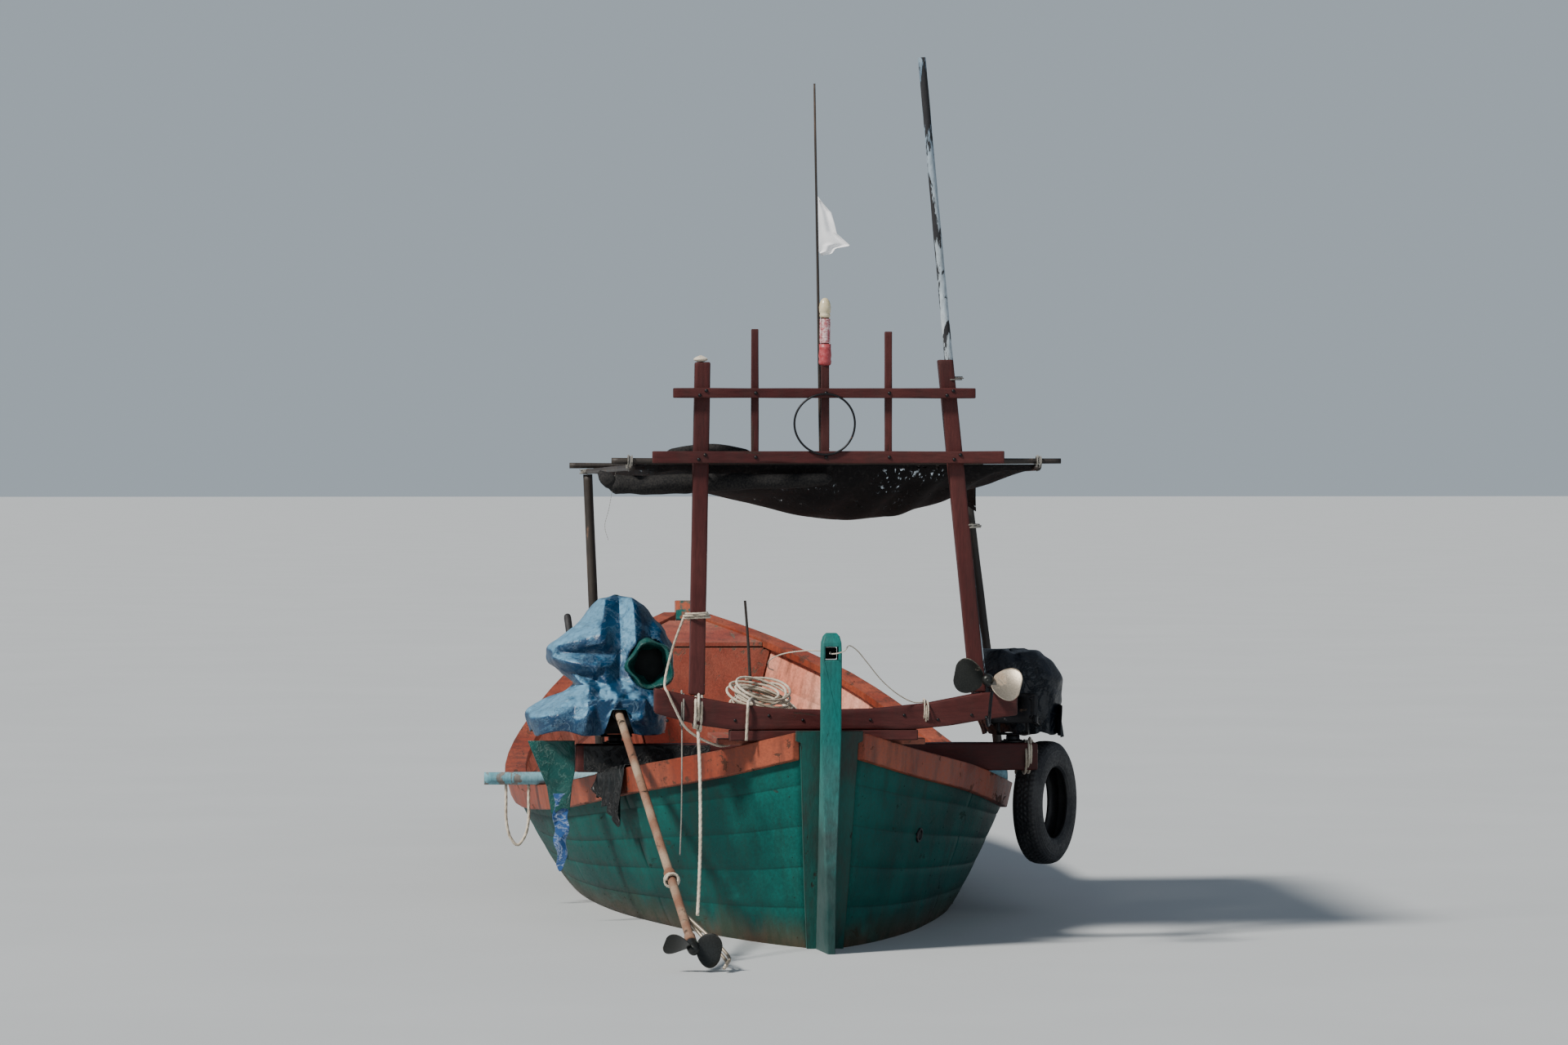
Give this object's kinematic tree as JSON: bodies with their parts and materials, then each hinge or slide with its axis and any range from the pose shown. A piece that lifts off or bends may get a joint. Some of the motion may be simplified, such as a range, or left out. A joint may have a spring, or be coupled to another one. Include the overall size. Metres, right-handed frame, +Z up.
{
  "type": "longtail boat",
  "caption": "Open wooden longtail boat: plank hull with high stem and stern post, covered longtail engines on a beam, gallows, shade net, tyre fender and poles.",
  "frame": {"origin": "amidships on the centreline at the waterline", "axes": "+X towards the bow, +Y to port, +Z up, square to the waterline"},
  "size_m": [10.1754, 2.7964, 4.3668],
  "materials": {
    "hull_paint": "weathered turquoise paint",
    "post_paint": "bright turquoise paint",
    "cap_paint": "worn orange-red paint",
    "inside_paint": "faded salmon paint",
    "deck_paint": "dull dark red paint",
    "red_wood": "dark red-brown stained wood",
    "dark_wood": "bare dark poles",
    "pole_paint": "peeling pale blue paint",
    "dark_metal": "dull dark steel",
    "frame_metal": "dull dark paint, oily",
    "rusty_steel": "rusty tube",
    "engine_block": "oily dark engine",
    "blade_metal": "dull worn metal",
    "blue_tarp": "woven plastic sheet, satin",
    "green_tarp": "woven plastic sheet, satin",
    "navy_cover": "matte cloth",
    "shade_net": "black knitted shade net",
    "tyre_rubber": "worn black rubber",
    "white_rope": "off-white laid rope",
    "flag_cloth": "faded thin cloth",
    "lamp_glass": "yellowed clear plastic"
  },
  "bodies": {
    "hull": {"keel": "hull_paint", "bow_stem": "post_paint", "transom": "hull_paint", "stern_post": "post_paint", "planking_port": "hull_paint", "gunwale_port": "cap_paint", "frames_port": "inside_paint", "planking_starboard": "hull_paint", "gunwale_starboard": "cap_paint", "frames_starboard": "inside_paint", "floor_boards": "inside_paint", "floor_timbers": "inside_paint", "thwart_aft": "inside_paint", "thwart_fore": "inside_paint", "fore_deck": "deck_paint", "fore_bulkhead": "deck_paint", "stern_deck": "deck_paint", "yoke_chock": "red_wood", "yoke": "red_wood", "gallows_post_port": "red_wood", "gallows_post_starboard": "red_wood", "crossbar_lower": "red_wood", "crossbar_upper": "red_wood", "upright_port": "red_wood", "lamp_post": "red_wood", "upright_starboard": "red_wood", "lamp": "lamp_glass", "hoop": "dark_metal", "flag_staff": "dark_wood", "flag": "flag_cloth", "long_pole": "pole_paint", "canopy_pole_aft": "dark_wood", "canopy_post_port": "dark_wood", "canopy_pole_port": "dark_wood", "canopy_post_starboard": "dark_wood", "canopy_pole_starboard": "dark_wood", "canopy_pole_fore": "dark_wood", "canopy_net": "shade_net", "engine_beam": "red_wood", "tyre": "tyre_rubber", "tyre_lashing": "white_rope", "side_pole": "pole_paint", "pole_loop": "white_rope", "rope_coil": "white_rope", "rope_end": "white_rope", "hanging_tarp": "green_tarp", "port_pivot_base": "dark_metal", "starboard_pivot_base": "dark_metal"},
    "port_steering": {"port_swivel": "dark_metal"},
    "port_drive": {"port_engine_frame": "frame_metal", "port_engine": "engine_block", "port_tail_tube": "rusty_steel", "port_cover": "blue_tarp"},
    "port_screw": {"port_propeller": "blade_metal"},
    "starboard_steering": {"starboard_swivel": "dark_metal"},
    "starboard_drive": {"starboard_engine_frame": "frame_metal", "starboard_engine": "engine_block", "starboard_tail_tube": "rusty_steel", "starboard_cover": "navy_cover"},
    "starboard_screw": {"starboard_propeller": "blade_metal"}
  },
  "joints": [
    {"name": "port_swing", "type": "hinge", "parent": "hull", "child": "port_steering", "pos_m": [-2.8, 0.835, 0.93], "axis": [0, 0, 1], "range_deg": [-40, 1]},
    {"name": "port_tilt", "type": "hinge", "parent": "port_steering", "child": "port_drive", "pos_m": [-2.8, 0.835, 0.93], "axis": [-0.068, 0.9977, 0], "range_deg": [-10, 16]},
    {"name": "port_spin", "type": "hinge", "parent": "port_drive", "child": "port_screw", "pos_m": [-5.38282, 0.65892, 0.1037], "axis": [0.9399, 0.0641, 0.3355], "continuous": true},
    {"name": "starboard_swing", "type": "hinge", "parent": "hull", "child": "starboard_steering", "pos_m": [-2.8, -1.02, 0.93], "axis": [0, 0, 1], "range_deg": [0, 40]},
    {"name": "starboard_tilt", "type": "hinge", "parent": "starboard_steering", "child": "starboard_drive", "pos_m": [-2.8, -1.02, 0.93], "axis": [0.1891, 0.982, 0], "range_deg": [0, 5]},
    {"name": "starboard_spin", "type": "hinge", "parent": "starboard_drive", "child": "starboard_screw", "pos_m": [-4.54692, -0.6836, 1.18542], "axis": [0.9778, -0.1883, -0.0924], "continuous": true}
  ]
}
